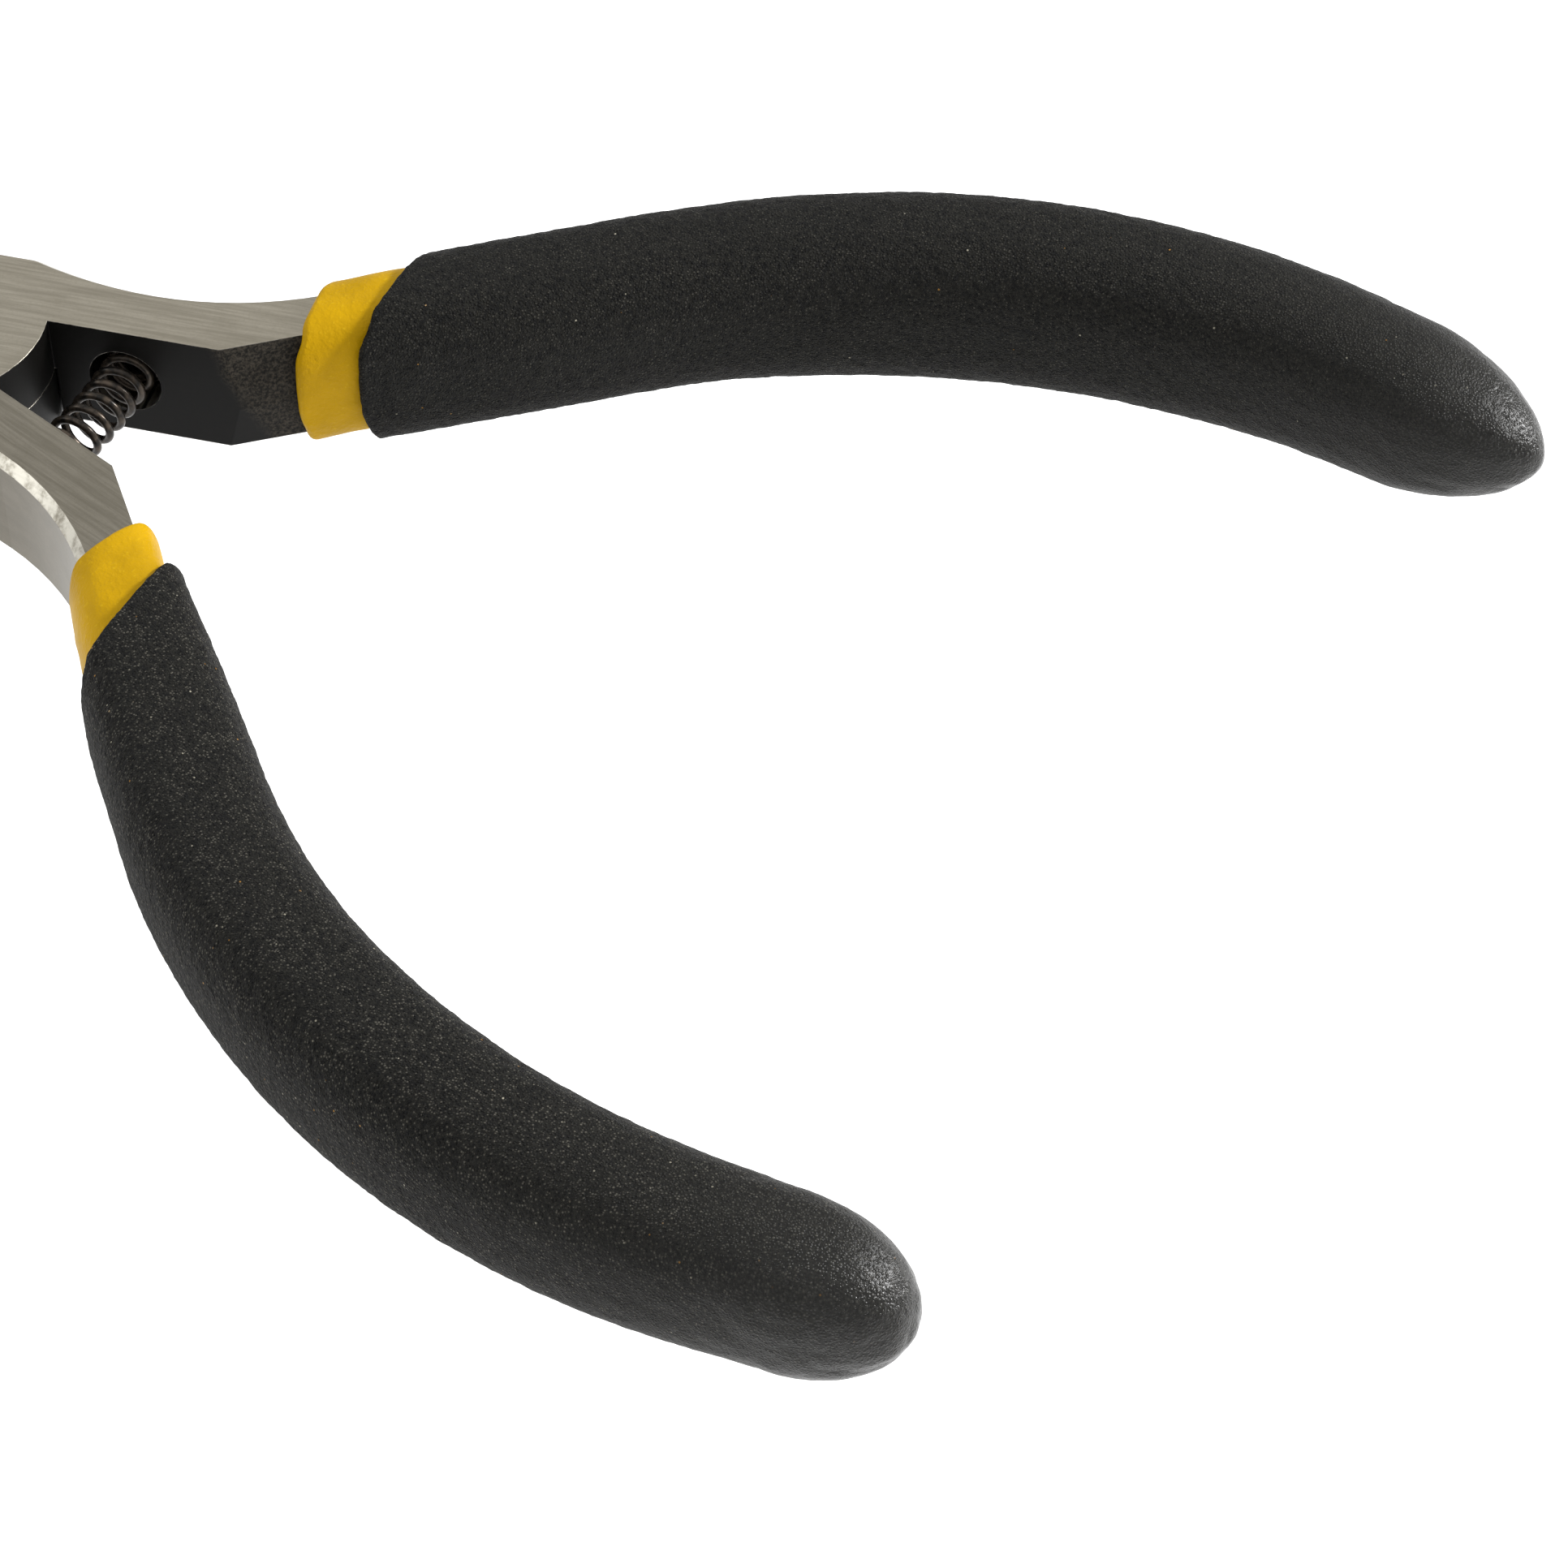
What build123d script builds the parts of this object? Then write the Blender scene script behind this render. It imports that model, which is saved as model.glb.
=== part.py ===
"""Mini flat nose pliers: two identical forged halves lapped at a rivet, a return spring, dipped grips.

Millimetres, +Z up. The pliers lie flat: the pivot axis is Z and z = 0 is the underside of the joint.
The handles point to +X, the jaws to -X. The tool is modelled sprung open, its rest position.
Each half is drawn in the closed tool's frame, handle on its own +Y side, and turned to the open
position by its plane. The lower half is the upper one turned over about X.
"""

import os
from math import cos, degrees, radians, sin, sqrt, tan

from build123d import *

# Whole tool
CLOSED_LENGTH = 125.0
HANDLE_REACH = 91.65                # pivot to the grip's end, closed
JAW_REACH = CLOSED_LENGTH - HANDLE_REACH
HALF_OPEN = 13.8                    # each half turns this far from closed, degrees
THICKNESS = 7.5
MID_Z = THICKNESS / 2

# Lap joint
BOSS_R = 7.05
SHOULDER_GAP = 0.12
LAP_GAP = 0.06                      # between the two bosses' faces
JOINT_HALF_WIDTH = 6.6
JOINT_FLAT_END_X = 4.4
RIVET_R = 2.4
RIVET_HEAD_R = 3.3
RIVET_CLEARANCE = 0.05

# Neck and tang
SPRING_FLAT_Y = 1.33
NECK_X = 12.2
NECK_Y = 5.35
TANG_WIDTH = 3.8
TANG_DRAFT = (0.4, 3.0)             # the tang's inner face slopes back from its parting line
EDGE_BEVEL = 0.55

# Jaws
JAW_FACE_GAP = 0.03                 # each gripping face stands off the centre plane by this
JAW_ROOT_X = 12.5
JAW_ROOT_WIDTH = 4.9
JAW_TIP_WIDTH = 1.8
JAW_TIP_THICKNESS = 4.6
JAW_TIP_ROUND = 0.9

# Return spring and its seats
SEAT_X = 11.3
SEAT_R = 2.2
SEAT_DEPTH = 2.5
SPRING_OUTER_R = 1.62
WIRE_R = 0.25
SPRING_TURNS = 12

# Handle centre line, closed: a straight, an arc bending back to the centre, a straight
SPINE_START = (23.46, 6.61)
SPINE_HEADING = 28.94
SPINE_STRAIGHT = 16.8
SPINE_R = 51.84
SPINE_TURN = 48.04
SPINE_LENGTH = 72.4

# Dipped coats: share of the handle's length, width in the tool's plane, depth along Z
GRIP_SECTIONS = (
    (-0.12, 6.6, 9.4),
    (0.05, 7.5, 9.9),
    (0.20, 8.4, 9.6),
    (0.35, 8.6, 9.9),
    (0.50, 8.6, 10.5),
    (0.65, 8.6, 10.3),
    (0.80, 8.4, 9.6),
)
UNDERDIP_LIP_SECTIONS = (
    (-0.12, 5.1, 8.9),
    (-0.03, 5.9, 9.1),
)
END_SECTION = (7.3, 8.4)            # where the rounded end begins
END_LENGTH = 6.0
END_STEPS = (0, 15, 30, 45, 60, 75, 87)     # degrees round the end's quarter ellipse
CORNER_SHARE = 0.38                 # a section's corner radius over its width
GRIP_COAT = 0.4                     # how far the grip stands off the under-dip
UNDERDIP_FRONT_X = 20.54            # both fronts are square to the open tool's X axis
GRIP_FRONT_X = 23.38


def half_plane(side):
    """The mid-plane of the upper (1) or lower (-1) half, turned to its open position."""
    turn = radians(HALF_OPEN)
    return Plane(origin=(0, 0, MID_Z), x_dir=(cos(turn), side * sin(turn), 0), z_dir=(0, 0, side))


def spine_point(along, offset=0.0):
    """A point beside the handle's centre line, offset to its outer side, and the heading there."""
    heading = radians(SPINE_HEADING)
    straight = min(along, SPINE_STRAIGHT)
    x = SPINE_START[0] + straight * cos(heading)
    y = SPINE_START[1] + straight * sin(heading)
    bend = min(max(along - SPINE_STRAIGHT, 0) / SPINE_R, radians(SPINE_TURN))
    x += SPINE_R * (sin(heading) - sin(heading - bend))
    y += SPINE_R * (cos(heading - bend) - cos(heading))
    rest = max(along - SPINE_STRAIGHT - SPINE_R * bend, 0)
    heading -= bend
    x += rest * cos(heading) - offset * sin(heading)
    y += rest * sin(heading) + offset * cos(heading)
    return (x, y), degrees(heading)


def in_plane(plane, direction):
    """A direction given in a half's own frame, as one in the tool's frame."""
    return direction.X * plane.x_dir + direction.Y * plane.y_dir + direction.Z * plane.z_dir


def steel_half(side):
    """A forged half: jaw, boss on its own top layer, shoulder, neck with spring seat, and tang."""
    plane = half_plane(side)
    heading = radians(SPINE_HEADING)
    inner, outer = -TANG_WIDTH / 2 - TANG_DRAFT[0] / 2, TANG_WIDTH / 2
    tang_end = SPINE_STRAIGHT + SPINE_R * radians(SPINE_TURN)
    inner_bend, outer_bend = spine_point(SPINE_STRAIGHT, inner)[0], spine_point(SPINE_STRAIGHT, outer)[0]
    inner_end, outer_end = spine_point(tang_end, inner)[0], spine_point(tang_end, outer)[0]

    knee = (inner_bend[0] - (inner_bend[1] - SPRING_FLAT_Y) / tan(heading), SPRING_FLAT_Y)
    rise = outer_bend[1] - NECK_Y - (outer_bend[0] - NECK_X) * tan(heading)
    neck_r = rise / (1 - cos(heading) - sin(heading) * tan(heading))
    neck_end = (NECK_X + neck_r * sin(heading), NECK_Y + neck_r * (1 - cos(heading)))
    flat_x = sqrt(BOSS_R**2 - JOINT_HALF_WIDTH**2)
    notch = (sqrt(BOSS_R**2 - SPRING_FLAT_Y**2), SPRING_FLAT_Y)
    jaw_start = (-sqrt(BOSS_R**2 - JAW_FACE_GAP**2), -JAW_FACE_GAP)
    jaw_root = (-JAW_ROOT_X, -JAW_ROOT_WIDTH)
    tip_corner = (-JAW_REACH, -JAW_TIP_WIDTH)
    boss_side = (BOSS_R * cos(radians(30)), BOSS_R * sin(radians(30)))

    with BuildPart() as half:
        with BuildSketch(plane.offset(-THICKNESS / 2)) as outline:
            with BuildLine():
                Line(notch, knee)
                tang_inside = Line(knee, inner_bend)
                RadiusArc(inner_bend, inner_end, SPINE_R + inner)
                Line(inner_end, outer_end)
                RadiusArc(outer_end, outer_bend, -SPINE_R - outer)
                tang_side = Line(outer_bend, neck_end)
                neck_back = TangentArc((NECK_X, NECK_Y), neck_end, tangent=(1, 0))
                neck_front = TangentArc(
                    (NECK_X, NECK_Y), (JOINT_FLAT_END_X, JOINT_HALF_WIDTH), tangent=(-1, 0)
                )
                joint_side = Line((JOINT_FLAT_END_X, JOINT_HALF_WIDTH), (-flat_x, JOINT_HALF_WIDTH))
                ThreePointArc((-flat_x, JOINT_HALF_WIDTH), (-boss_side[0], boss_side[1]), jaw_start)
                Polyline(jaw_start, (-JAW_REACH, -JAW_FACE_GAP), tip_corner)
                jaw_side = Line(tip_corner, jaw_root)
                jaw_shoulder = TangentArc(
                    jaw_root,
                    (-JOINT_FLAT_END_X, -JOINT_HALF_WIDTH),
                    tangent=(JAW_REACH - JAW_ROOT_X, JAW_TIP_WIDTH - JAW_ROOT_WIDTH),
                )
                boss_flat = Line((-JOINT_FLAT_END_X, -JOINT_HALF_WIDTH), (flat_x, -JOINT_HALF_WIDTH))
                ThreePointArc((flat_x, -JOINT_HALF_WIDTH), (boss_side[0], -boss_side[1]), notch)
            make_face()
            fillet(outline.vertices().sort_by_distance(tip_corner)[0], JAW_TIP_ROUND)
        extrude(amount=THICKNESS)

        # Bevels along the outer side, jaw to tang
        rims = []
        for side_line in (tang_side, neck_back, neck_front, joint_side, jaw_side, jaw_shoulder, boss_flat):
            middle = side_line @ 0.5
            for z in (THICKNESS / 2, -THICKNESS / 2):
                rim_point = plane.from_local_coords(Vector(middle.X, middle.Y, z))
                rims.append(half.edges().sort_by_distance(rim_point)[0])
        chamfer(rims, EDGE_BEVEL)
        for z in (THICKNESS / 2, -THICKNESS / 2):
            rim_point = plane.from_local_coords((tang_inside @ 0.5) + Vector(0, 0, z))
            rim = half.edges().sort_by_distance(rim_point)[0]
            face = half.faces().filter_by(Plane.XY).sort_by_distance(rim_point)[0]
            chamfer(rim, *TANG_DRAFT, reference=face)

        # The jaw thins towards its tip on both faces, with its outer edges bevelled again
        thinning = (THICKNESS - JAW_TIP_THICKNESS) / 2
        for face in (1, -1):
            with BuildSketch(Plane(plane.origin, x_dir=plane.x_dir, z_dir=-plane.y_dir)):
                with BuildLine():
                    Polyline(
                        (-JAW_ROOT_X, face * THICKNESS / 2),
                        (-JAW_REACH, face * JAW_TIP_THICKNESS / 2),
                        (-JAW_REACH - 1, face * JAW_TIP_THICKNESS / 2),
                        (-JAW_REACH - 1, face * THICKNESS),
                        (-JAW_ROOT_X, face * THICKNESS),
                        close=True,
                    )
                make_face()
            extrude(amount=JOINT_HALF_WIDTH * 2, both=True, mode=Mode.SUBTRACT)

            run = Vector(JAW_ROOT_X - JAW_REACH, JAW_ROOT_WIDTH - JAW_TIP_WIDTH, -face * thinning)
            edge = in_plane(plane, run)
            outward = in_plane(plane, Vector(run.Y, -run.X, 0) * -1)
            corner = plane.from_local_coords(Vector(*jaw_root, face * THICKNESS / 2))
            with BuildSketch(Plane(corner, x_dir=outward, z_dir=edge)):
                Polygon(
                    (-EDGE_BEVEL, 0), (0, -face * EDGE_BEVEL), (EDGE_BEVEL, face * EDGE_BEVEL), align=None
                )
            extrude(amount=JAW_REACH, mode=Mode.SUBTRACT)

        # The other half's boss turns in this recess
        with BuildSketch(plane.offset(-THICKNESS / 2)):
            Circle(BOSS_R + SHOULDER_GAP)
        extrude(amount=(THICKNESS + LAP_GAP) / 2, mode=Mode.SUBTRACT)

        # The rivet is tight in the upper half and turns in the lower one
        clearance = 0 if side == 1 else RIVET_CLEARANCE
        with Locations(plane.offset(THICKNESS / 2)):
            CounterSinkHole(RIVET_R + clearance, RIVET_HEAD_R + clearance, counter_sink_angle=90)

        seat_mouth = plane.from_local_coords(Vector(SEAT_X, SPRING_FLAT_Y, 0))
        with Locations(Plane(seat_mouth, x_dir=plane.x_dir, z_dir=-plane.y_dir)):
            Hole(SEAT_R, SEAT_DEPTH)
    return half


def section(side, along, width, depth):
    """A coat's rounded section, square to the handle's centre line."""
    plane = half_plane(side)
    (x, y), heading = spine_point(along)
    turn = radians(heading)
    centre = plane.from_local_coords(Vector(x, y, 0))
    across = in_plane(plane, Vector(-sin(turn), cos(turn), 0))
    forward = in_plane(plane, Vector(cos(turn), sin(turn), 0))
    with BuildSketch(Plane(centre, x_dir=across, z_dir=forward)) as outline:
        RectangleRounded(width, depth, CORNER_SHARE * width)
    return outline.sketch


def coat(side, sections, end_section, reach, front_x):
    """A dipped coat's full body, lofted along the handle and cut square to the tool at its front."""
    end_start = reach - END_LENGTH
    handle = [section(side, share * SPINE_LENGTH, *size) for share, *size in sections]
    handle.append(section(side, end_start, *end_section))
    end = []
    for step in END_STEPS:
        along = end_start + END_LENGTH * sin(radians(step))
        end.append(section(side, along, *(size * cos(radians(step)) for size in end_section)))

    with BuildPart() as body:
        loft(handle)
        loft(end, ruled=True)
        split(bisect_by=Plane((front_x, 0, 0), z_dir=(1, 0, 0)), keep=Keep.TOP)
    return body


def inset(size):
    """A section's size under the grip's coat."""
    return tuple(value - 2 * GRIP_COAT for value in size)


os.makedirs("parts", exist_ok=True)

underdip_sections = UNDERDIP_LIP_SECTIONS + tuple(
    (share, *inset(size)) for share, *size in GRIP_SECTIONS if share > 0
)

for side, name in ((1, "upper"), (-1, "lower")):
    steel = steel_half(side)
    steel.part.label = f"{name}_half"
    export_step(steel.part, f"parts/{name}_half.step")

    underdip_body = coat(
        side, underdip_sections, inset(END_SECTION), SPINE_LENGTH - GRIP_COAT, UNDERDIP_FRONT_X
    )
    with BuildPart() as underdip:
        add(underdip_body.part)
        add(steel.part, mode=Mode.SUBTRACT)
    underdip.part.label = f"{name}_underdip"
    export_step(underdip.part, f"parts/{name}_underdip.step")

    grip_body = coat(side, GRIP_SECTIONS, END_SECTION, SPINE_LENGTH, GRIP_FRONT_X)
    with BuildPart() as grip:
        add(grip_body.part)
        add(underdip_body.part, mode=Mode.SUBTRACT)
    grip.part.label = f"{name}_grip"
    export_step(grip.part, f"parts/{name}_grip.step")

# Headed both ends and ground flush
with BuildPart() as pivot_rivet:
    with BuildSketch(Plane.XZ):
        Polygon(
            (0, 0),
            (RIVET_HEAD_R, 0),
            (RIVET_R, RIVET_HEAD_R - RIVET_R),
            (RIVET_R, THICKNESS - (RIVET_HEAD_R - RIVET_R)),
            (RIVET_HEAD_R, THICKNESS),
            (0, THICKNESS),
            align=None,
        )
    revolve(axis=Axis.Z)
pivot_rivet.part.label = "pivot_rivet"
export_step(pivot_rivet.part, "parts/pivot_rivet.step")

# A straight coil between the tilted seat floors, wound about the tool's Y axis
seat_turn = radians(HALF_OPEN)
seat_floor_y = SEAT_X * sin(seat_turn) + (SPRING_FLAT_Y + SEAT_DEPTH) * cos(seat_turn)
seat_middle_x = SEAT_X * cos(seat_turn) - (SPRING_FLAT_Y + SEAT_DEPTH / 2) * sin(seat_turn)
coil_half = seat_floor_y - SPRING_OUTER_R * tan(seat_turn) - WIRE_R
coil_r = SPRING_OUTER_R - WIRE_R
coil_start = (seat_middle_x, -coil_half, MID_Z)
with BuildPart() as return_spring:
    with BuildLine() as coil:
        Helix(2 * coil_half / SPRING_TURNS, 2 * coil_half, coil_r, center=coil_start, direction=(0, 1, 0))
    with BuildSketch(coil.line ^ 0):
        Circle(WIRE_R)
    sweep(path=coil.line, is_frenet=True)
return_spring.part.label = "return_spring"
export_step(return_spring.part, "parts/return_spring.step")
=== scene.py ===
"""Looks of the mini flat nose pliers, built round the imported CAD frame.

The steel halves and the rivet stay CAD pieces with better materials. The four dipped coats and
the return spring are rebuilt here as detailed meshes. Lengths are in millimetres, and MM turns
them into metres. Each handle is drawn in the closed tool's frame, then turned open to its side.
"""

import math

import bpy
import numpy as np
from mathutils import Matrix, Vector


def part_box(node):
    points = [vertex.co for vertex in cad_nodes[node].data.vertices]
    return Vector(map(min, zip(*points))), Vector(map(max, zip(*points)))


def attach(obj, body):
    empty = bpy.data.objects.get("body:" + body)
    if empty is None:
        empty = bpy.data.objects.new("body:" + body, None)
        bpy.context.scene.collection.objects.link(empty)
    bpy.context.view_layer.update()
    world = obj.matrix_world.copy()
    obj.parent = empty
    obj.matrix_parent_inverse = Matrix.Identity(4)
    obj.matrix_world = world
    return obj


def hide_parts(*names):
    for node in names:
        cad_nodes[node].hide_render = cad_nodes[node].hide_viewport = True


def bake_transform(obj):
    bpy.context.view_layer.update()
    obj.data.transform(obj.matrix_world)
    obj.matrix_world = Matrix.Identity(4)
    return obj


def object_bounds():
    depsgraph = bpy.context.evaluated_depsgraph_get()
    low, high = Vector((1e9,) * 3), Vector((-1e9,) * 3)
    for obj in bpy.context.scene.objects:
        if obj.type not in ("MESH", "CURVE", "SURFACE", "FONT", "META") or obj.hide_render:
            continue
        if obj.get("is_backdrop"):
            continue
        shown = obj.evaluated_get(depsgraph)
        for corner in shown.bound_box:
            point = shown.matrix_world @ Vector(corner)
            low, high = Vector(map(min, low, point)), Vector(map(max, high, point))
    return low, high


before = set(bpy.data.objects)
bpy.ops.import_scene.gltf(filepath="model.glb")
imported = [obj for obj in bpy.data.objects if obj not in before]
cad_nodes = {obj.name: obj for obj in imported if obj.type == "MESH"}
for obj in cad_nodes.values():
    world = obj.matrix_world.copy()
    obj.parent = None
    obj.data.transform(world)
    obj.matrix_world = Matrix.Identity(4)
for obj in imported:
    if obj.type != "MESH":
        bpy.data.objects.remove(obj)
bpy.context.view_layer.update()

MM = 0.001

# Tool layout, as in the CAD model
HALF_OPEN = math.radians(13.8)
THICKNESS = (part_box("pivot_rivet")[1].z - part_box("pivot_rivet")[0].z) / MM
MID_Z = THICKNESS / 2
SPINE_START = (23.46, 6.61)
SPINE_HEADING = math.radians(28.94)
SPINE_STRAIGHT = 16.8
SPINE_R = 51.84
SPINE_TURN = math.radians(48.04)
SPINE_LENGTH = 72.4
KNEE_X = 17.6

# Coats: share of the handle's length, half width, half depth, squareness of the section
GRIP_SECTIONS = (
    (-0.12, 3.30, 4.75, 3.6),
    (0.00, 3.62, 5.00, 3.4),
    (0.14, 4.14, 4.86, 3.0),
    (0.29, 4.36, 4.84, 2.8),
    (0.43, 4.42, 5.20, 2.8),
    (0.57, 4.42, 5.28, 2.8),
    (0.72, 4.38, 5.12, 2.7),
    (0.86, 4.24, 4.82, 2.6),
    (0.94, 4.10, 4.62, 2.5),
    (1.00, 4.00, 4.50, 2.4),
)
UNDERDIP_SECTIONS = (
    (-0.12, 3.05, 4.52, 3.2),
    (-0.04, 3.10, 4.62, 3.2),
    (0.00, 2.72, 4.58, 3.2),
    (0.03, 3.10, 4.62, 3.4),
    (0.10, 3.30, 4.00, 3.4),
    (0.72, 3.40, 4.00, 2.7),
    (0.86, 3.10, 3.60, 2.6),
    (1.00, 2.30, 2.90, 2.4),
)
# Rounded end of each coat: where it stops, how long it is and how blunt
GRIP_END = {"upper": (72.7, 8.6, 1.78), "lower": (72.5, 6.8, 2.1)}
UNDERDIP_END = (71.4, 7.5, 2.0)
# Front of each coat: the point on its inner side, and the heading it faces
GRIP_FRONT = {"upper": (25.14, 3.43, math.radians(-9)), "lower": (25.7, 3.74, math.radians(-14))}
UNDERDIP_FRONT = {"upper": (21.73, 2.34, 0.0), "lower": (22.25, 2.63, math.radians(4))}
# Coat thickness and the radius of its rounded front lip
GRIP_COAT, GRIP_LIP = 0.9, 0.3
UNDERDIP_COAT, UNDERDIP_LIP = 1.0, 0.42
# The hollow in a coat starts behind its front and stops short of the coat's own end wall
HOLLOW_START, HOLLOW_STOP = 0.3, 1.0
# Mesh detail: columns round a coat, rows in its hollow and on its lip, spacing of the outer rows
AROUND = 176
HOLLOW_ROWS = 60
LIP_ROWS = 8
GRIP_SPACING, UNDERDIP_SPACING = 0.2, 0.4
# The grip's surface calms down over this stretch, measured straight from the handle's start
CALM_START, CALM_LENGTH = 46, 22
# Grain of each grip: strength of its painted bead glints, stronger on the lower grip, and the share
# of cells that hold a pale speck
GRIP_GLINTS_AND_SPECKS = {"upper": (0.7, 0.02), "lower": (2.0, 0.06)}

# Spring
SEAT_X = 11.3
SEAT_FLOOR_Y = 1.33 + 2.5
SPRING_R = 1.37
WIRE_R = 0.25
SPRING_TURNS = 11.8
SPRING_PHASE = 0.9
CLOSED_PITCH = 2 * WIRE_R * 1.02        # the end turns all but touch
STEPS_PER_TURN = 40
WIRE_SIDES = 14

# Steel: streak fineness along, across and through a half, and the lower half's share of the tone, a
# painted shade for its streaks catching less light
STREAK_SCALE = (180, 4200, 900)
LOWER_STEEL_PAINTED_SHADE = 0.68

# Camera, as an orbit round a point on the tool's mid-plane
CAMERA_TARGET = (60.69, -6.2, MID_Z)
CAMERA_AZIMUTH = 32.48
CAMERA_ELEVATION = 45.88
CAMERA_ROLL = -3.25
CAMERA_DISTANCE = 373.7
CAMERA_LENS = 158.03

# Studio: floor below the tool in mm and its half width in m; softboxes as azimuth and elevation in
# degrees, distance and size in mm, power in watts
FLOOR_DROP = 45
FLOOR_HALF_WIDTH = 3.0
WORLD_STRENGTH = 0.95
SOFTBOXES = {
    "left_softbox": (200, 30, 420, 150, 0.3),
    "back_softbox": (42, 28, 420, 70, 2.6),
    "top_softbox": (250, 75, 520, 380, 0.3),
}


# ---------------------------------------------------------------- handle geometry

def spine(along):
    """Centre line of a closed handle: positions and headings at the given lengths."""
    along = np.asarray(along, float)
    straight = np.minimum(along, SPINE_STRAIGHT)
    bend = np.clip((along - SPINE_STRAIGHT) / SPINE_R, 0, SPINE_TURN)
    rest = np.maximum(along - SPINE_STRAIGHT - SPINE_R * SPINE_TURN, 0)
    heading = SPINE_HEADING - bend
    x = SPINE_START[0] + straight * math.cos(SPINE_HEADING)
    y = SPINE_START[1] + straight * math.sin(SPINE_HEADING)
    x = x + SPINE_R * (math.sin(SPINE_HEADING) - np.sin(heading)) + rest * np.cos(heading)
    y = y + SPINE_R * (np.cos(heading) - math.cos(SPINE_HEADING)) + rest * np.sin(heading)
    return x, y, heading


def open_frame(points, side):
    """Points of a closed half, in mm about the mid-plane, as tool points with the pliers open."""
    x, y, z = points[..., 0], points[..., 1], points[..., 2]
    cos, sin = math.cos(HALF_OPEN), math.sin(HALF_OPEN)
    return np.stack([x * cos - y * sin, side * (x * sin + y * cos), MID_Z + side * z], -1)


def section_sizes(table, along):
    """Half width, half depth and squareness at the given lengths, smoothed between the rows."""
    shares, *columns = np.array(table).T
    step, reach, margin = 0.5, 8, 12
    fine = np.arange(-margin, SPINE_LENGTH + margin, step)
    window = np.exp(-np.linspace(-2, 2, 2 * reach + 1) ** 2)
    window /= window.sum()
    out = []
    for values in columns:
        dense = np.interp(fine, shares * SPINE_LENGTH, values)
        smooth = np.convolve(np.pad(dense, reach, mode="edge"), window, mode="valid")
        out.append(np.interp(along, fine, smooth))
    return out


def coat_surface(table, along, around, inset=0.0, end=UNDERDIP_END):
    """Points of a coat's surface, inset below it, in the closed half's frame."""
    x, y, heading = spine(along)
    width, depth, squareness = section_sizes(table, along)
    reach, length, bluntness = end
    cap = np.clip((along - (reach - inset - length)) / length, 0, 1)
    scale = np.clip(1 - cap**bluntness, 0, 1) ** (1 / bluntness)
    power = 2 / squareness
    across = np.sign(np.cos(around)) * np.abs(np.cos(around)) ** power * (width - inset) * scale
    up = np.sign(np.sin(around)) * np.abs(np.sin(around)) ** power * (depth - inset) * scale
    return np.stack([x - across * np.sin(heading), y + across * np.cos(heading), up], -1)


def front_lengths(table, front, around):
    """Where each line along the coat meets the front, a slightly wavy plane."""
    x, y, heading = front
    cos, sin = math.cos(heading), math.sin(heading)
    wave = 0.07 * np.sin(3 * around + 1.1) + 0.05 * np.sin(5 * around + 2.7)
    wave = wave + 0.03 * np.sin(9 * around)
    along = np.zeros_like(around)
    for _ in range(14):
        points = coat_surface(table, along, around)
        along = along + 0.8 * (wave - (points[..., 0] - x) * cos - (points[..., 1] - y) * sin)
    return along


# ---------------------------------------------------------------- noise

def lattice(cells, seed):
    """A repeatable random number from 0 to 1 for each integer cell."""
    x, y, z = (cells[..., i].astype(np.int64) for i in range(3))
    n = (x * 73856093) ^ (y * 19349663) ^ (z * 83492791) ^ (seed * 2654435761)
    n = (n ^ (n >> 13)) * 1274126177 & 0x7FFFFFFF
    n = (n ^ (n >> 16)) * 1911520717 & 0x7FFFFFFF
    return (n ^ (n >> 15)) / 0x7FFFFFFF


def smooth_noise(points, cell, seed):
    """Smooth noise from -1 to 1 with lumps about a cell wide."""
    p = points / cell
    base = np.floor(p)
    f = p - base
    f = f * f * (3 - 2 * f)
    total = 0
    for corner in np.ndindex(2, 2, 2):
        weight = np.prod([f[..., i] if corner[i] else 1 - f[..., i] for i in range(3)], axis=0)
        total = total + weight * lattice(base + corner, seed)
    return total * 2 - 1


def beads(points, cell, seed):
    """Rounded beads from 0 to 1, about one to a cell."""
    p = points / cell
    base = np.floor(p)
    nearest = np.full(p.shape[:-1], 9.0)
    for step in np.ndindex(3, 3, 3):
        other = base + np.array(step) - 1
        jitter = np.stack([lattice(other, seed + k) for k in range(3)], -1)
        nearest = np.minimum(nearest, ((other + 0.15 + 0.7 * jitter - p) ** 2).sum(-1))
    return np.clip(1 - nearest / 0.55, 0, 1)


# ---------------------------------------------------------------- meshes

def mesh_object(name, points, faces, body, material):
    """A smooth mesh from points in mm, riding on a body."""
    mesh = bpy.data.meshes.new(name)
    mesh.from_pydata((points * MM).tolist(), [], faces)
    mesh.polygons.foreach_set("use_smooth", [True] * len(mesh.polygons))
    mesh.materials.append(material)
    obj = bpy.data.objects.new(name, mesh)
    bpy.context.scene.collection.objects.link(obj)
    if body:
        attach(obj, body)
    return obj


def tube_faces(rows, columns):
    """Faces of a grid closed round its columns, with a point at each end: the last two vertices."""
    faces = []
    for row in range(rows - 1):
        for column in range(columns):
            after = (column + 1) % columns
            a, b = row * columns + column, row * columns + after
            faces.append((a, b, b + columns, a + columns))
    start, end = rows * columns, rows * columns + 1
    last = (rows - 1) * columns
    for column in range(columns):
        after = (column + 1) % columns
        faces.append((after, column, start))
        faces.append((last + column, last + after, end))
    return faces


def grid_normals(grid):
    """Unit normals of a grid of points that is closed round its columns."""
    down = np.gradient(grid, axis=0)
    round_ = np.roll(grid, -1, axis=1) - np.roll(grid, 1, axis=1)
    normal = np.cross(round_, down)
    return normal / np.maximum(np.linalg.norm(normal, axis=-1, keepdims=True), 1e-9)


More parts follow.
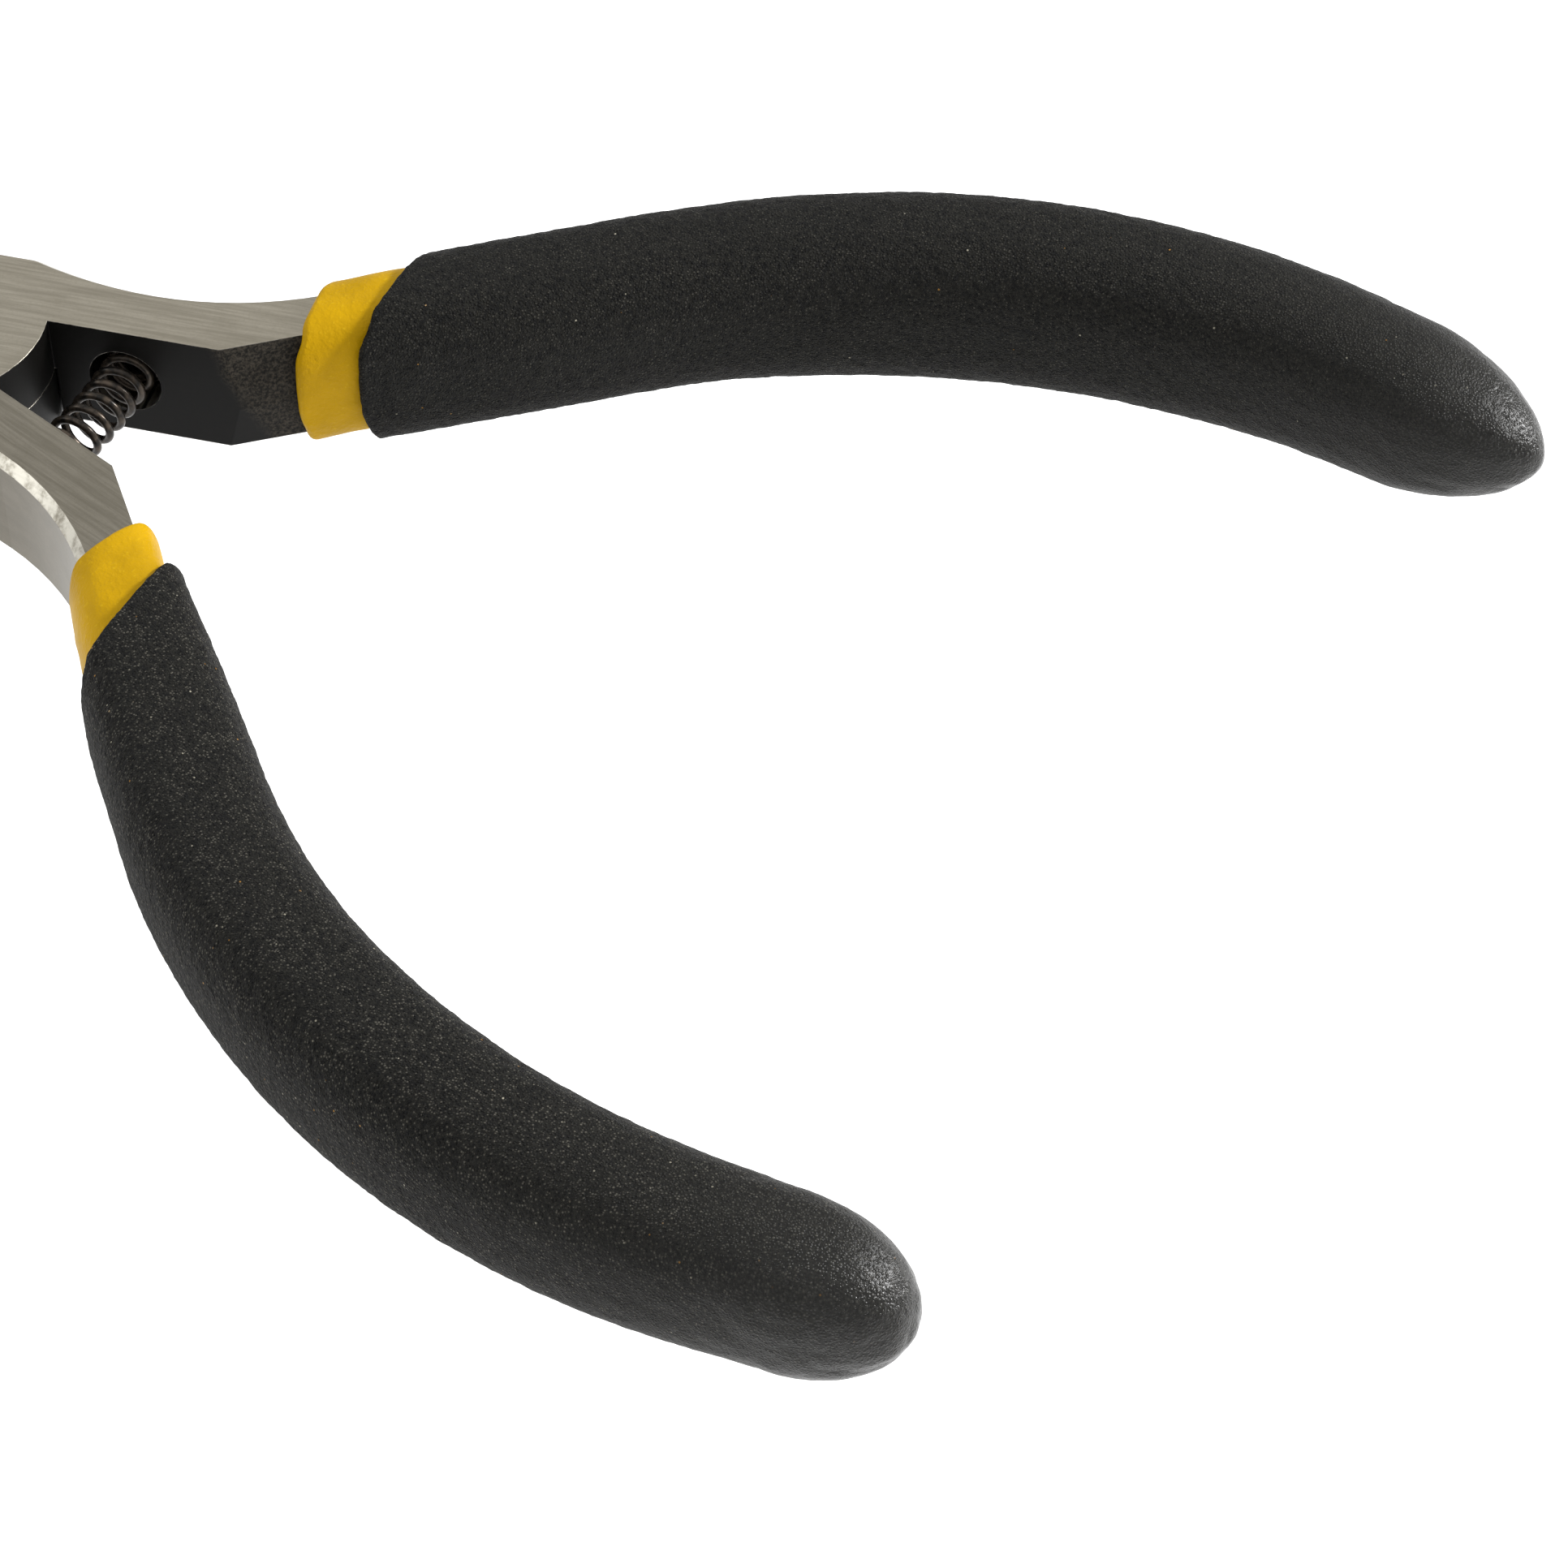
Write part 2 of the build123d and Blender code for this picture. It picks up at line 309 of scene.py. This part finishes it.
def sleeve(table, front, lip, coat, end, spacing):
    """Rows of a dipped sleeve and the depth of each: its hollow, its lip, then its outside."""
    around = np.linspace(0, 2 * math.pi, AROUND, endpoint=False)
    start = front_lengths(table, front, around)
    reach, cap, _ = end
    rows, depth_rows = [], []

    def add(along, inset):
        rows.append(coat_surface(table, along, around, inset, end))
        depth_rows.append(inset)

    hollow = reach - coat - HOLLOW_STOP - start - HOLLOW_START
    for share in np.linspace(1, 0, HOLLOW_ROWS):
        add(start + HOLLOW_START + hollow * share, coat)
    for angle in np.radians(np.linspace(90, 0, LIP_ROWS)):
        add(start + lip * (1 - math.sin(angle)), lip * (1 - math.cos(angle)))
    cap_start = reach - cap
    for share in np.linspace(0, 1, int((cap_start - 1) / spacing))[1:]:
        add(start + lip + (cap_start - start - lip) * share, 0.0)
    for angle in np.radians(np.linspace(0, 88, int(cap * 1.5 / spacing)))[1:]:
        add(np.full_like(around, cap_start + cap * math.sin(angle)), 0.0)
    return np.array(rows), np.array(depth_rows)


def grip(side, half, body, material):
    """The outer coat: grained along the handle, smoother and creased towards its rounded end."""
    front, end = GRIP_FRONT[half], GRIP_END[half]
    rows, depth = sleeve(GRIP_SECTIONS, front, GRIP_LIP, GRIP_COAT, end, GRIP_SPACING)
    outward = -grid_normals(rows)
    tool = open_frame(rows, side)
    seed = 11 if side == 1 else 47
    reach = np.hypot(rows[..., 0] - SPINE_START[0], rows[..., 1] - SPINE_START[1])
    calm = np.clip((reach - CALM_START) / CALM_LENGTH, 0, 1)
    lumps = 0.03 * smooth_noise(tool, 7.0, seed) + 0.02 * smooth_noise(tool, 2.2, seed + 1)
    grain = 0.055 * (1 - 0.75 * calm) * (beads(tool, 0.52, seed + 2) - 0.5)
    grain += 0.025 * (1 - 0.6 * calm) * smooth_noise(tool, 0.9, seed + 5)
    creases = 0.05 * calm * (1 - np.abs(smooth_noise(tool, 1.5, seed + 6)) * 2)
    shown = (depth < GRIP_COAT)[:, None]
    rows = rows + outward * ((lumps + grain + creases) * shown)[..., None]
    name, slot_name = f"{half}_black_grip", "black_foamed_vinyl"
    return finish_sleeve(rows, side, name, body, material, calm)


def underdip(side, half, body, material):
    """The under coat: a smooth thick-lipped band that runs on under the grip."""
    front, lip, coat = UNDERDIP_FRONT[half], UNDERDIP_LIP, UNDERDIP_COAT
    rows, depth = sleeve(UNDERDIP_SECTIONS, front, lip, coat, UNDERDIP_END, UNDERDIP_SPACING)
    outward = -grid_normals(rows)
    tool = open_frame(rows, side)
    seed = 5 if side == 1 else 29
    lumps = 0.05 * smooth_noise(tool, 2.2, seed) + 0.02 * smooth_noise(tool, 0.8, seed + 1)
    shown = (depth < UNDERDIP_COAT)[:, None]
    rows = rows + outward * (lumps * shown)[..., None]
    name, calm = f"{half}_yellow_coat", np.zeros(rows.shape[:2])
    return finish_sleeve(rows, side, name, body, material, calm)


def finish_sleeve(rows, side, name, body, material, calm):
    """Closes the rows into one mesh, carrying how calm the surface is to the material."""
    ends = np.array([rows[0].mean(axis=0), rows[-1].mean(axis=0)])
    points = open_frame(np.vstack([rows.reshape(-1, 3), ends]), side)
    faces = tube_faces(len(rows), AROUND)
    obj = mesh_object(name, points, faces, body, material)
    attribute = obj.data.attributes.new("calm", "FLOAT", "POINT")
    attribute.data.foreach_set("value", np.append(calm.ravel(), [0.0, 1.0]).astype(np.float32))
    return obj


def spring(material):
    """The return spring at its free length, bowed between its seats, with its end turns closed."""
    floor = open_frame(np.array([SEAT_X, SEAT_FLOOR_Y, 0.0]), 1)
    bow_r = floor[1] / math.sin(HALF_OPEN)
    centre_x = floor[0] - bow_r * math.cos(HALF_OPEN)
    steps = int(SPRING_TURNS * STEPS_PER_TURN)
    turn = np.linspace(0, SPRING_TURNS, steps)
    length = 2 * bow_r * HALF_OPEN - 2 * WIRE_R
    pitch = (length - 2 * CLOSED_PITCH) / (SPRING_TURNS - 2)
    turns = [0, 1, SPRING_TURNS - 1, SPRING_TURNS]
    heights = [0, CLOSED_PITCH, CLOSED_PITCH + pitch * (SPRING_TURNS - 2), length]
    along = np.interp(turn, turns, heights)
    reach = 6
    soften = np.ones(2 * reach + 1) / (2 * reach + 1)
    along = np.convolve(np.pad(along, reach, mode="edge"), soften, mode="valid")
    bow = (along + WIRE_R) / bow_r - HALF_OPEN
    phase = 2 * math.pi * turn + SPRING_PHASE
    radial = bow_r + SPRING_R * np.cos(phase)
    height = MID_Z + SPRING_R * np.sin(phase)
    centre = np.stack([centre_x + radial * np.cos(bow), -radial * np.sin(bow), height], -1)
    tangent = np.gradient(centre, axis=0)
    tangent /= np.linalg.norm(tangent, axis=1, keepdims=True)
    level = np.full(steps, MID_Z)
    axis = np.stack([centre_x + bow_r * np.cos(bow), -bow_r * np.sin(bow), level], -1)
    out = centre - axis
    out -= (out * tangent).sum(1, keepdims=True) * tangent
    out /= np.linalg.norm(out, axis=1, keepdims=True)
    side = np.cross(tangent, out)
    angles = np.linspace(0, 2 * math.pi, WIRE_SIDES, endpoint=False)[None, :, None]
    ring = np.cos(angles) * out[:, None] + np.sin(angles) * side[:, None]
    rows = centre[:, None] + WIRE_R * ring
    points = np.vstack([rows.reshape(-1, 3), centre[:1], centre[-1:]])
    faces = tube_faces(steps, WIRE_SIDES)
    return mesh_object("return_spring_wire", points, faces, None, material)


# ---------------------------------------------------------------- materials

class Nodes:
    """Short calls for building one node material."""

    def __init__(self, name):
        self.material = bpy.data.materials.new(name)
        self.material.use_nodes = True
        self.tree = self.material.node_tree
        self.shader = self.tree.nodes["Principled BSDF"]
        self.coords = self.tree.nodes.new("ShaderNodeTexCoord")

    def link(self, value, socket):
        if hasattr(value, "is_output"):
            self.tree.links.new(value, socket)
        else:
            socket.default_value = value

    def set(self, **inputs):
        for name, value in inputs.items():
            self.link(value, self.shader.inputs[name.replace("_", " ")])

    def node(self, kind, inputs=(), output=0, **settings):
        node = self.tree.nodes.new(kind)
        for key, value in settings.items():
            setattr(node, key, value)
        for key, value in dict(inputs).items():
            self.link(value, node.inputs[key])
        return node.outputs[output]

    def math(self, operation, a, b=0.0, clamp=False):
        return self.node("ShaderNodeMath", {0: a, 1: b}, operation=operation, use_clamp=clamp)

    def step(self, value, low, high):
        """0 below low, 1 above high, smooth between."""
        inputs = {"Value": value, "From Min": low, "From Max": high}
        return self.node("ShaderNodeMapRange", inputs, interpolation_type="SMOOTHSTEP")

    def ramp(self, value, low, high):
        """A value from 0 to 1 spread from low to high."""
        inputs = {"Value": value, "To Min": low, "To Max": high}
        return self.node("ShaderNodeMapRange", inputs)

    def scaled(self, vector, scale):
        inputs = {"Vector": vector, "Scale": scale}
        return self.node("ShaderNodeMapping", inputs, vector_type="POINT")

    def noise(self, vector, scale, detail=2.0, roughness=0.5):
        inputs = {"Vector": vector, "Scale": scale, "Detail": detail, "Roughness": roughness}
        return self.node("ShaderNodeTexNoise", inputs)

    def cells(self, vector, scale, output="Distance"):
        node = self.tree.nodes.new("ShaderNodeTexVoronoi")
        self.link(vector, node.inputs["Vector"])
        node.inputs["Scale"].default_value = scale
        return node.outputs[output]

    def parts(self, colour):
        """Red, green and blue of a colour."""
        node = self.tree.nodes.new("ShaderNodeSeparateColor")
        self.link(colour, node.inputs[0])
        return tuple(node.outputs)

    def parts_of(self, vector):
        """X, Y and Z of a vector."""
        node = self.tree.nodes.new("ShaderNodeSeparateXYZ")
        self.link(vector, node.inputs[0])
        return tuple(node.outputs)

    def mix(self, factor, a, b):
        node = self.tree.nodes.new("ShaderNodeMix")
        node.data_type = "RGBA"
        for key, value in ((0, factor), (6, a), (7, b)):
            self.link(value, node.inputs[key])
        return node.outputs[2]

    def bump(self, height, strength, distance, normal=None):
        inputs = {"Height": height, "Strength": strength, "Distance": distance}
        if normal:
            inputs["Normal"] = normal
        return self.node("ShaderNodeBump", inputs)


def ground_steel(side):
    """Streaked satin on the ground faces and sides, with painted shade on steep faces and on the
    lower half, worn bevels painted bright as their highlight, black oxide within.
    """
    n = Nodes("ground_steel_upper" if side == 1 else "ground_steel_lower")
    turn = {"Vector": n.coords.outputs["Object"], "Angle": -side * HALF_OPEN}
    place = n.node("ShaderNodeVectorRotate", turn, rotation_type="Z_AXIS")
    turn["Vector"] = n.coords.outputs["Normal"]
    facing = n.node("ShaderNodeVectorRotate", turn, rotation_type="Z_AXIS")
    px, py, pz = n.parts_of(place)
    _, ny, nz = n.parts_of(facing)
    if side == -1:
        py, ny = n.math("MULTIPLY", py, -1.0), n.math("MULTIPLY", ny, -1.0)
    level = n.math("ABSOLUTE", nz)

    # Zones: flat faces, bevels, and the sides that were ground
    flat = n.step(level, 0.93, 0.98)
    bevel = n.math("MULTIPLY", n.step(level, 0.45, 0.6), n.step(level, 0.9, 0.85))
    handle_side = n.math("MULTIPLY", n.step(ny, 0.25, 0.4), n.step(py, 2.5 * MM, 3 * MM))
    jaw_side = n.math("MULTIPLY", n.step(ny, -0.25, -0.4), n.step(py, -1 * MM, -1.5 * MM))
    jaw_side = n.math("MULTIPLY", jaw_side, n.step(px, 3.5 * MM, 3 * MM))
    jaw_face = n.math("MULTIPLY", n.step(ny, 0.9, 0.95), n.step(px, -7 * MM, -7.5 * MM))
    ground = n.math("ADD", n.math("ADD", handle_side, jaw_side), jaw_face, clamp=True)
    ground = n.math("MAXIMUM", ground, n.math("MAXIMUM", flat, bevel))

    # Streaks run along each half; blotches are the worn satin
    streak_space = n.scaled(place, STREAK_SCALE)
    streaks = n.noise(streak_space, 1.0, detail=6.0, roughness=0.65)
    fine = n.noise(n.scaled(place, (350, 9000, 4000)), 1.0, detail=3.0, roughness=0.6)
    blotch = n.noise(place, 260.0, detail=4.0, roughness=0.6)
    grit = n.noise(place, 5200.0, detail=2.0, roughness=0.7)

    # The lower half is painted darker all over: painted shade for its streaks catching less light
    tone = 1.0 if side == 1 else LOWER_STEEL_PAINTED_SHADE
    low, high, worn = ((tone * r, tone * g, tone * b, 1) for r, g, b in (
        (0.26, 0.237, 0.187), (0.37, 0.34, 0.277), (0.21, 0.19, 0.145)))
    steel = n.mix(n.step(streaks, 0.3, 0.72), low, high)
    steel = n.mix(n.math("MULTIPLY", n.step(blotch, 0.45, 0.75), 0.35), steel, worn)
    steel = n.mix(n.math("MULTIPLY", n.step(grit, 0.45, 0.8), 0.3), steel, worn)
    # Steep faces are painted darker than the flat ones: painted shade on the walls
    wall = n.math("MULTIPLY", n.step(level, 0.5, 0.3), 0.4)
    steel = n.mix(wall, steel, (0.1, 0.09, 0.075, 1))
    # The bevels are painted pale, ragged like wear: a painted highlight where they catch the light
    ragged = n.noise(place, 1100.0, detail=6.0, roughness=0.65)
    steel = n.mix(n.math("MULTIPLY", bevel, n.step(ragged, 0.3, 0.6)), steel, (0.50, 0.48, 0.42, 1))

    # Oxide within; beyond the knee it is the rougher forged scale
    reach = n.math("ADD", px, n.math("MULTIPLY", blotch, 1.6 * MM))
    reach = n.math("ADD", reach, n.math("MULTIPLY", n.math("SUBTRACT", pz, MID_Z * MM), 0.35))
    forged = n.step(reach, (KNEE_X + 1.0) * MM, (KNEE_X + 2.2) * MM)
    oxide = n.mix(blotch, (0.001, 0.0009, 0.0008, 1), (0.004, 0.0036, 0.003, 1))
    scale = n.mix(n.step(grit, 0.35, 0.7), (0.006, 0.0055, 0.0045, 1), (0.042, 0.036, 0.028, 1))
    dark = n.mix(forged, oxide, scale)

    # Thin worn line where a face meets a wall
    rounded = n.node("ShaderNodeBevel", {"Radius": 0.09 * MM}, samples=4)
    rounded_z = n.parts_of(rounded)[2]
    true_z = n.parts_of(n.node("ShaderNodeNewGeometry", output="True Normal"))[2]
    turned = n.math("ABSOLUTE", n.math("SUBTRACT", rounded_z, true_z))
    edge = n.step(turned, 0.12, 0.3)
    edge = n.math("MULTIPLY", edge, n.step(n.noise(place, 1500.0, detail=3.0), 0.38, 0.5))
    colour = n.mix(ground, dark, steel)
    colour = n.mix(n.math("MULTIPLY", edge, 0.6), colour, (0.45, 0.42, 0.37, 1))

    metal = n.math("MAXIMUM", ground, edge)
    rough_ground = n.ramp(streaks, 0.30, 0.46)
    rough_dark = n.math("ADD", n.math("MULTIPLY", forged, 0.22), n.ramp(blotch, 0.38, 0.5))
    mixed = n.node("ShaderNodeMix", {0: ground, 2: rough_dark, 3: rough_ground}, data_type="FLOAT")
    relief = n.math("ADD", n.math("MULTIPLY", streaks, 0.6), n.math("MULTIPLY", fine, 0.4))
    normal = n.bump(relief, 0.35, 0.02 * MM, rounded)
    scale_relief = n.math("MULTIPLY", grit, forged)
    scale_relief = n.math("MULTIPLY", scale_relief, n.math("SUBTRACT", 1.0, ground))
    normal = n.bump(scale_relief, 0.6, 0.05 * MM, normal)
    n.set(Base_Color=colour, Metallic=metal, Roughness=mixed, Normal=normal, Specular_IOR_Level=0.1)
    return n.material


def rivet_steel():
    """The rivet's ends, ground together with the joint's faces, with oil in the seam round them."""
    n = Nodes("rivet_ground")
    place = n.coords.outputs["Object"]
    x, y, _ = n.parts_of(place)
    radius = n.math("SQRT", n.math("ADD", n.math("MULTIPLY", x, x), n.math("MULTIPLY", y, y)))
    streaks = n.noise(n.scaled(place, STREAK_SCALE), 1.0, detail=5.0, roughness=0.6)
    blotch = n.noise(place, 500.0, detail=4.0)
    colour = n.mix(streaks, (0.27, 0.25, 0.20, 1), (0.42, 0.39, 0.33, 1))
    colour = n.mix(n.math("MULTIPLY", blotch, 0.4), colour, (0.22, 0.20, 0.16, 1))
    colour = n.mix(n.step(radius, 3.08 * MM, 3.22 * MM), colour, (0.03, 0.027, 0.022, 1))
    n.set(Base_Color=colour, Metallic=1.0, Roughness=n.ramp(streaks, 0.28, 0.44))
    n.set(Normal=n.bump(streaks, 0.3, 0.02 * MM))
    return n.material


def spring_wire():
    """Oiled black oxide wire, brownish where it catches the light."""
    n = Nodes("oxide_wire")
    place = n.coords.outputs["Object"]
    mottled = n.noise(place, 1800.0, detail=4.0, roughness=0.6)
    colour = n.mix(n.step(mottled, 0.35, 0.7), (0.010, 0.009, 0.008, 1), (0.06, 0.046, 0.034, 1))
    n.set(Base_Color=colour, Metallic=0.6, Specular_IOR_Level=0.3)
    n.set(Roughness=n.ramp(mottled, 0.24, 0.38))
    n.set(Normal=n.bump(mottled, 0.25, 0.02 * MM))
    return n.material


def yellow_vinyl():
    """Dipped vinyl: even and soft, with a fine orange peel."""
    n = Nodes("yellow_dip")
    place = n.coords.outputs["Object"]
    cloud = n.noise(place, 350.0, detail=3.0)
    peel = n.noise(place, 3300.0, detail=2.0, roughness=0.6)
    colour = n.mix(n.step(cloud, 0.3, 0.7), (0.34, 0.195, 0.0, 1), (0.42, 0.243, 0.0005, 1))
    colour = n.mix(n.math("MULTIPLY", n.step(peel, 0.62, 0.75), 0.3), colour, (0.56, 0.37, 0.01, 1))
    n.set(Base_Color=colour, Roughness=n.ramp(peel, 0.42, 0.58), Specular_IOR_Level=0.08)
    n.set(Normal=n.bump(peel, 0.8, 0.08 * MM))
    return n.material


def black_vinyl(name, glint_strength, speck_share):
    """Foamed vinyl: fine matt beads painted pale as glints of light over pits painted dark as
    shade, pale specks, calmer and glossier towards the end.
    """
    n = Nodes(name)
    place = n.coords.outputs["Object"]
    calm = n.node("ShaderNodeAttribute", output="Fac", attribute_name="calm")
    lively = n.math("SUBTRACT", 1.0, n.math("MULTIPLY", calm, 0.85))
    bead = n.step(n.cells(place, 6200.0), 0.6, 0.1)
    fine = n.noise(place, 7000.0, detail=3.0, roughness=0.7)
    cloud = n.noise(place, 420.0, detail=4.0)
    tone, pit, _ = n.parts(n.cells(place, 6200.0, "Color"))

    # Beads of varied tone painted pale as glints of light, over pits painted dark as shade
    painted_bead_glint = n.math("MULTIPLY", n.math("MULTIPLY", bead, n.math("POWER", tone, 2.2)), lively)
    painted_bead_glint = n.math("MULTIPLY", painted_bead_glint, n.math("MULTIPLY", n.step(cloud, 0.0, 0.6), glint_strength))
    colour = n.mix(n.step(fine, 0.35, 0.7), (0.0025, 0.0023, 0.0018, 1), (0.0125, 0.012, 0.0095, 1))
    colour = n.mix(painted_bead_glint, colour, (0.085, 0.08, 0.066, 1))
    # Pits painted near black: painted shade in the hollows
    hollow = n.math("MULTIPLY", n.math("MULTIPLY", n.step(pit, 0.3, 0.2), lively), 0.9)
    colour = n.mix(hollow, colour, (0.001, 0.001, 0.001, 1))

    # Specks in a few of the larger cells, pale, ochre or rust
    share, tint, _ = n.parts(n.cells(place, 2600.0, "Color"))
    chosen = n.step(share, 1 - speck_share, 1 - speck_share * 0.7)
    chosen = n.math("MULTIPLY", chosen, n.step(n.cells(place, 2600.0), 0.2, 0.1))
    speck = n.mix(n.step(tint, 0.6, 0.8), (0.30, 0.28, 0.22, 1), (0.30, 0.15, 0.03, 1))
    colour = n.mix(n.math("MULTIPLY", chosen, lively), colour, speck)

    height = n.math("SUBTRACT", n.math("ADD", bead, n.math("MULTIPLY", fine, 0.5)), hollow)
    height = n.math("MULTIPLY", height, lively)
    creases = n.noise(place, 1300.0, detail=5.0, roughness=0.6)
    normal = n.bump(height, 1.0, 0.14 * MM)
    normal = n.bump(n.math("MULTIPLY", creases, calm), 0.45, 0.3 * MM, normal)
    tip = n.math("POWER", calm, 4.0)
    rough = n.math("SUBTRACT", n.ramp(fine, 0.62, 0.8), n.math("MULTIPLY", calm, 0.2))
    rough = n.math("SUBTRACT", rough, n.math("MULTIPLY", tip, 0.26))
    gloss = n.math("ADD", 0.15, n.math("MULTIPLY", tip, 0.14))
    n.set(Base_Color=colour, Roughness=rough, Normal=normal, Specular_IOR_Level=gloss)
    return n.material


def plain(name, colour, roughness):
    """A plain even material for the floor."""
    n = Nodes(name)
    n.set(Base_Color=colour, Roughness=roughness)
    return n.material


# ---------------------------------------------------------------- the object

for side, half in ((1, "upper"), (-1, "lower")):
    body = f"{half}_lever"
    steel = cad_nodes[f"{half}_half"]
    steel.data.materials.clear()
    steel.data.materials.append(ground_steel(side))

    coat = underdip(side, half, body, yellow_vinyl())
    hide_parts(f"{half}_underdip")
    coat = grip(side, half, body, black_vinyl(f"black_dip_{half}", *GRIP_GLINTS_AND_SPECKS[half]))
    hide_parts(f"{half}_grip")

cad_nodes["pivot_rivet"].data.materials.clear()
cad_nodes["pivot_rivet"].data.materials.append(rivet_steel())

coil = spring(spring_wire())
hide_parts("return_spring")
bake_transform(coil)


# ---------------------------------------------------------------- studio

def area_light(name, aim, azimuth, elevation, distance, size, power):
    """A square softbox aimed at a point; azimuth is counted from +X towards +Y."""
    light = bpy.data.lights.new(name, "AREA")
    light.shape = "SQUARE"
    light.size = size * MM
    light.energy = power
    obj = bpy.data.objects.new(name, light)
    bpy.context.scene.collection.objects.link(obj)
    a, e = math.radians(azimuth), math.radians(elevation)
    out = Vector((math.cos(a) * math.cos(e), math.sin(a) * math.cos(e), math.sin(e)))
    obj.location = aim + out * distance * MM
    obj.rotation_euler = out.to_track_quat("Z", "Y").to_euler()


def studio():
    """Pale floor well below the tool, soft white surroundings and the softboxes."""
    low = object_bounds()[0].z - FLOOR_DROP * MM
    half = FLOOR_HALF_WIDTH
    corners = [(-half, -half, low), (half, -half, low), (half, half, low), (-half, half, low)]
    floor = bpy.data.meshes.new("floor")
    floor.from_pydata(corners, [], [(0, 1, 2, 3)])
    floor.materials.append(plain("pale_floor", (0.93, 0.93, 0.93, 1), 0.9))
    floor = bpy.data.objects.new("floor", floor)
    bpy.context.scene.collection.objects.link(floor)
    floor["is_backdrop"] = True

    world = bpy.data.worlds.new("studio")
    bpy.context.scene.world = world
    world.use_nodes = True
    background = world.node_tree.nodes["Background"]
    background.inputs["Color"].default_value = (1, 1, 1, 1)
    background.inputs["Strength"].default_value = WORLD_STRENGTH

    aim = Vector(CAMERA_TARGET) * MM
    for name, settings in SOFTBOXES.items():
        area_light(name, aim, *settings)


def camera():
    """The photograph's viewpoint."""
    azimuth, elevation = math.radians(CAMERA_AZIMUTH), math.radians(CAMERA_ELEVATION)
    back = Vector((
        math.sin(azimuth) * math.cos(elevation),
        -math.cos(azimuth) * math.cos(elevation),
        math.sin(elevation),
    ))
    data = bpy.data.cameras.new("camera")
    data.sensor_width = 36
    data.lens = CAMERA_LENS
    data.clip_start, data.clip_end = 0.01, 20
    obj = bpy.data.objects.new("camera", data)
    bpy.context.scene.collection.objects.link(obj)
    obj.location = (Vector(CAMERA_TARGET) + back * CAMERA_DISTANCE) * MM
    roll = Matrix.Rotation(math.radians(CAMERA_ROLL), 4, "Z")
    obj.rotation_euler = ((-back).to_track_quat("-Z", "Y").to_matrix().to_4x4() @ roll).to_euler()
    bpy.context.scene.camera = obj


studio()
camera()
bpy.context.scene.view_settings.view_transform = "Standard"
